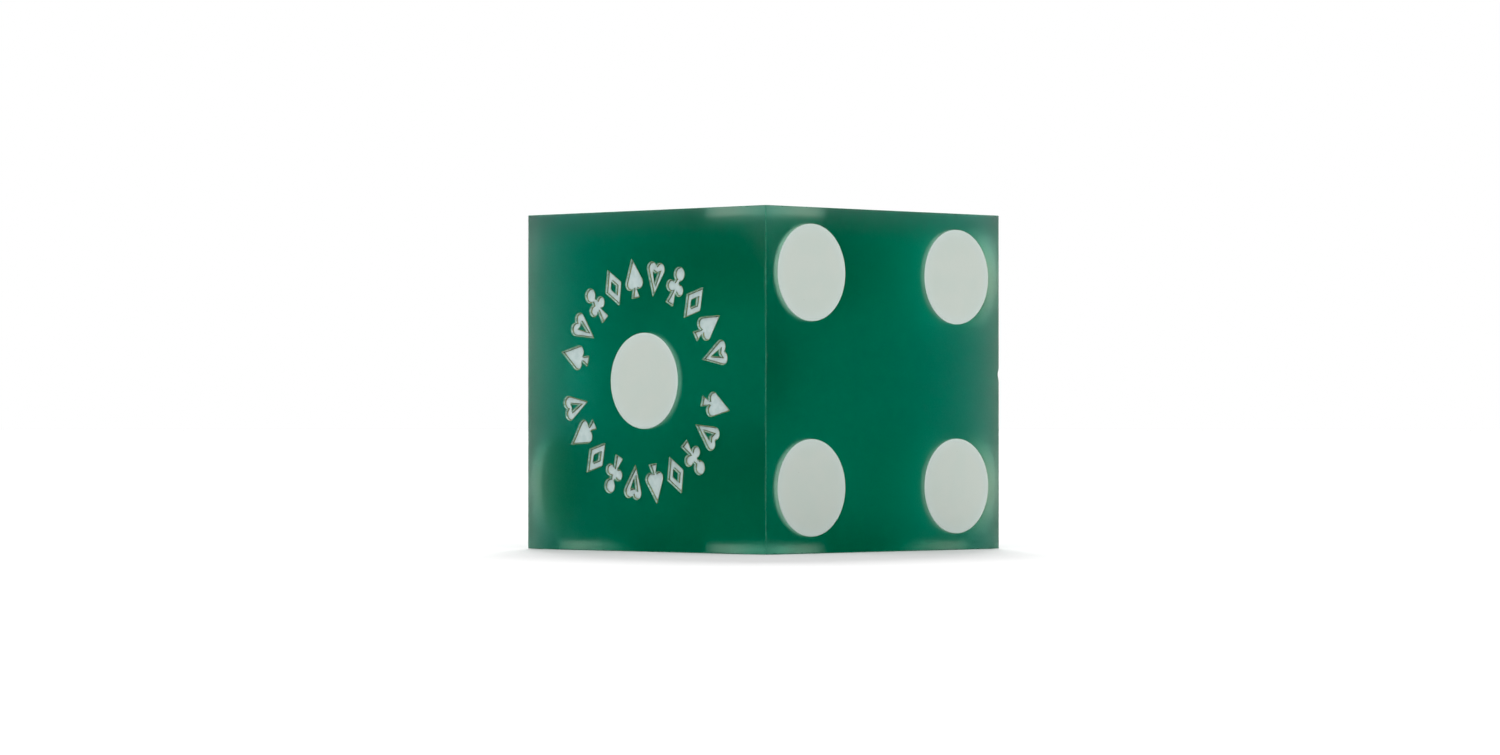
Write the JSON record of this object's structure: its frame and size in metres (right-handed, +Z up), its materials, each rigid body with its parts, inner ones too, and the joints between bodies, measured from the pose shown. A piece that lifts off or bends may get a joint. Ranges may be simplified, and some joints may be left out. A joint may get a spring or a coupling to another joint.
{
  "type": "casino die",
  "caption": "Casino gaming die: a sharp-edged frosted translucent cube with flush filled pips and a ring of stamped card suits, thrown to give a random number.",
  "frame": {"origin": "centre of the face that the die stands on, the five", "axes": "+Z up through the two, -Y out of the one, +X out of the four"},
  "size_m": [0.019, 0.019, 0.0191],
  "materials": {
    "cube_acetate": "satin",
    "pip_fill": "satin",
    "stamp_foil": "satin"
  },
  "bodies": {
    "root": {"die_body": "cube_acetate", "pip_one_centre": "pip_fill", "pip_two_upper_left": "pip_fill", "pip_two_lower_right": "pip_fill", "pip_three_upper_left": "pip_fill", "pip_three_centre": "pip_fill", "pip_three_lower_right": "pip_fill", "pip_four_upper_left": "pip_fill", "pip_four_upper_right": "pip_fill", "pip_four_lower_left": "pip_fill", "pip_four_lower_right": "pip_fill", "pip_five_upper_left": "pip_fill", "pip_five_upper_right": "pip_fill", "pip_five_lower_left": "pip_fill", "pip_five_lower_right": "pip_fill", "pip_five_centre": "pip_fill", "pip_six_upper_left": "pip_fill", "pip_six_upper_right": "pip_fill", "pip_six_lower_left": "pip_fill", "pip_six_lower_right": "pip_fill", "pip_six_upper_middle": "pip_fill", "pip_six_lower_middle": "pip_fill", "stamp_01_spade": "stamp_foil", "stamp_02_heart": "stamp_foil", "stamp_03_club": "stamp_foil", "stamp_04_diamond": "stamp_foil", "stamp_05_spade": "stamp_foil", "stamp_06_heart": "stamp_foil", "stamp_07_club": "stamp_foil", "stamp_08_diamond": "stamp_foil", "stamp_09_spade": "stamp_foil", "stamp_10_heart": "stamp_foil", "stamp_11_spade": "stamp_foil", "stamp_12_heart": "stamp_foil", "stamp_13_club": "stamp_foil", "stamp_14_diamond": "stamp_foil", "stamp_15_spade": "stamp_foil", "stamp_16_heart": "stamp_foil", "stamp_17_club": "stamp_foil", "stamp_18_diamond": "stamp_foil", "stamp_19_spade": "stamp_foil", "stamp_20_heart": "stamp_foil"}
  },
  "joints": []
}
